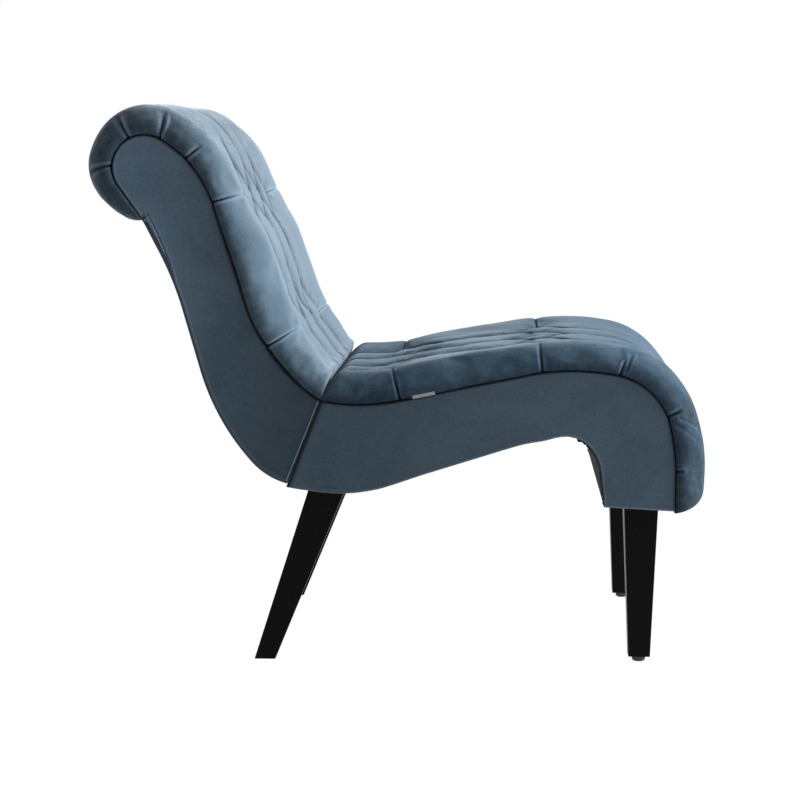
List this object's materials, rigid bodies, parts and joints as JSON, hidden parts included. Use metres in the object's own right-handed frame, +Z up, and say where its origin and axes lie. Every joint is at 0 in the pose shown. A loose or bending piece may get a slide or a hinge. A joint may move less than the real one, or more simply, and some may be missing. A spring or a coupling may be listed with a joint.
{
  "type": "tufted accent chair",
  "caption": "Armless accent chair with a rolled back and waterfall seat, diamond tufted velvet pads over a plywood frame, and tapered black legs.",
  "frame": {"origin": "on the floor, under the middle of the chair's overall box", "axes": "+X to the front of the chair, +Y to the sitter's left, +Z up"},
  "size_m": [0.8369, 0.5608, 0.7618],
  "materials": {
    "velvet": "matt",
    "plywood": "plain",
    "rail_wood": "plain",
    "hardboard": "plain",
    "foam": "plain",
    "webbing": "plain",
    "lining": "matt",
    "leg_black": "satin lacquer",
    "zinc_steel": "zinc plated",
    "glide": "plain",
    "tag": "plain"
  },
  "bodies": {
    "root": {"back_bottom_rail": "rail_wood", "back_foam": "foam", "back_frame_dowels": "rail_wood", "back_neck_rail": "rail_wood", "back_rear_cover": "velvet", "back_roll_board": "hardboard", "back_roll_rail": "rail_wood", "back_side_cover_left": "velvet", "back_side_cover_right": "velvet", "back_side_frame_left": "plywood", "back_side_frame_right": "plywood", "back_tuft_ties": "webbing", "back_tufted_pad": "velvet", "back_waist_rail": "rail_wood", "back_webbing": "webbing", "front_glides": "glide", "front_leg_block_left": "rail_wood", "front_leg_block_right": "rail_wood", "front_leg_left": "leg_black", "front_leg_right": "leg_black", "joint_bolts": "zinc_steel", "joint_nuts": "zinc_steel", "joint_washers": "zinc_steel", "leg_hanger_bolts": "zinc_steel", "leg_nuts": "zinc_steel", "rear_leg_block_left": "rail_wood", "rear_leg_block_right": "rail_wood", "rear_leg_left": "leg_black", "rear_leg_right": "leg_black", "seam_tag": "tag", "seat_cross_rail": "rail_wood", "seat_foam": "foam", "seat_frame_dowels": "rail_wood", "seat_front_rail": "rail_wood", "seat_nose_board": "hardboard", "seat_nose_rail": "rail_wood", "seat_rear_rail": "rail_wood", "seat_side_cover_left": "velvet", "seat_side_cover_right": "velvet", "seat_side_frame_left": "plywood", "seat_side_frame_right": "plywood", "seat_tuft_ties": "webbing", "seat_tufted_pad": "velvet", "seat_webbing": "webbing", "underside_lining": "lining"}
  },
  "joints": []
}
